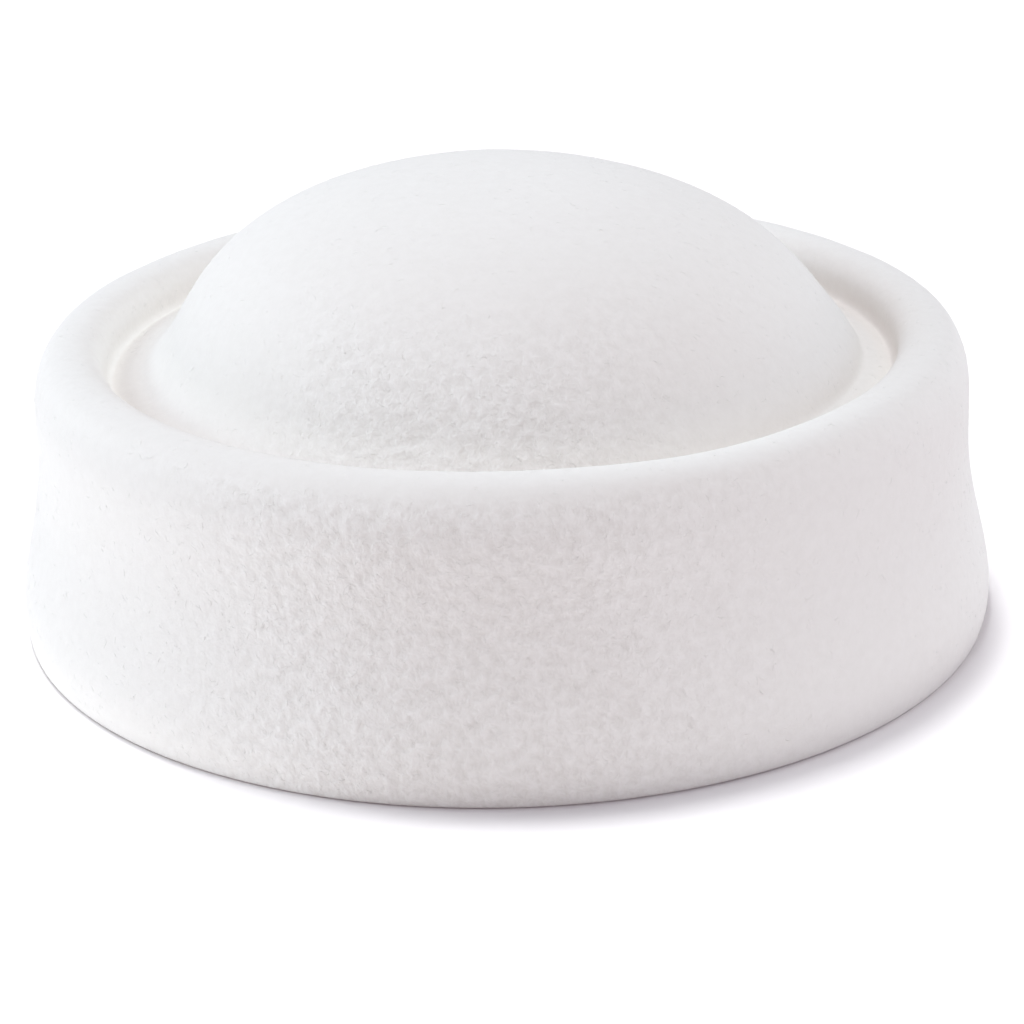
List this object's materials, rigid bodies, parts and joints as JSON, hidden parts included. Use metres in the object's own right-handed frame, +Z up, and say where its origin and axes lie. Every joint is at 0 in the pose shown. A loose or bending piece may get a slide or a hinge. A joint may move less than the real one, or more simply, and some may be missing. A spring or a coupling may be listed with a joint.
{
  "type": "moulded felt hat",
  "caption": "Plain moulded felt hat: a domed crown stands inside a rolled rim, a tall wall runs down from the rim, and the hollow below takes the wearer's head.",
  "frame": {"origin": "on the hat's axis, level with the cut edge that it stands on", "axes": "+Z up through the middle of the crown; the hat is round, so +X and +Y are any two directions level with its edge"},
  "size_m": [0.1896, 0.1896, 0.0856],
  "materials": {
    "felt": "matt white wool felt with a short nap"
  },
  "bodies": {
    "root": {"felt_body": "felt"}
  },
  "joints": []
}
